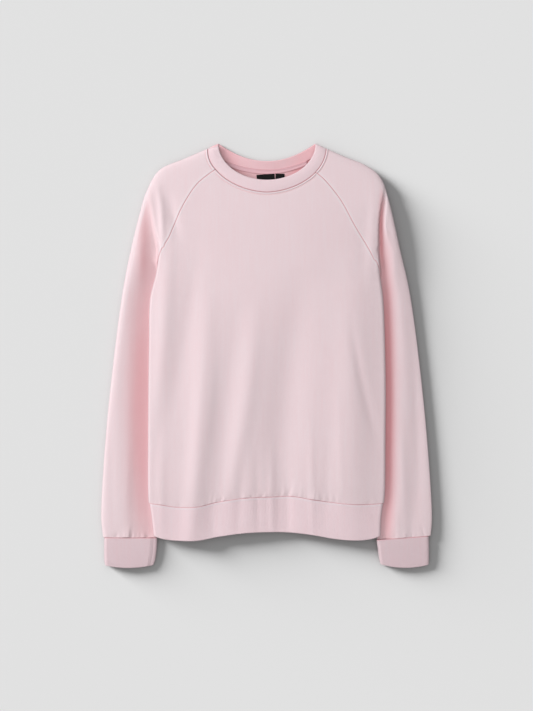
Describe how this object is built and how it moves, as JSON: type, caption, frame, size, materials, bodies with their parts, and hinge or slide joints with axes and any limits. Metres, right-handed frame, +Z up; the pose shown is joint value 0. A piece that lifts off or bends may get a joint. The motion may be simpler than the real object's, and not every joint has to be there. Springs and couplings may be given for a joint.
{
  "type": "crewneck sweatshirt laid flat",
  "caption": "Long-sleeved raglan crewneck sweatshirt in pale jersey with ribbed collar, hem and cuffs, lying flat with its front up.",
  "frame": {"origin": "middle of the garment on the surface that it lies on", "axes": "+X across the garment, to the right as it lies front up; +Y along it towards the neck; +Z up from the surface"},
  "size_m": [0.5697, 0.7318, 0.0252],
  "materials": {
    "jersey": "matt loopback cotton jersey, pale pink",
    "rib_knit": "matt cotton rib knit, pale pink",
    "neck_tape": "matt herringbone tape, pale pink",
    "label": "woven satin, black, bare"
  },
  "bodies": {
    "root": {"front": "jersey", "back": "jersey", "sleeve_left": "jersey", "sleeve_right": "jersey", "neck_rib": "rib_knit", "hem_band": "rib_knit", "cuff_left": "rib_knit", "cuff_right": "rib_knit", "neck_tape": "neck_tape", "label_main": "label", "label_size": "label"}
  },
  "joints": []
}
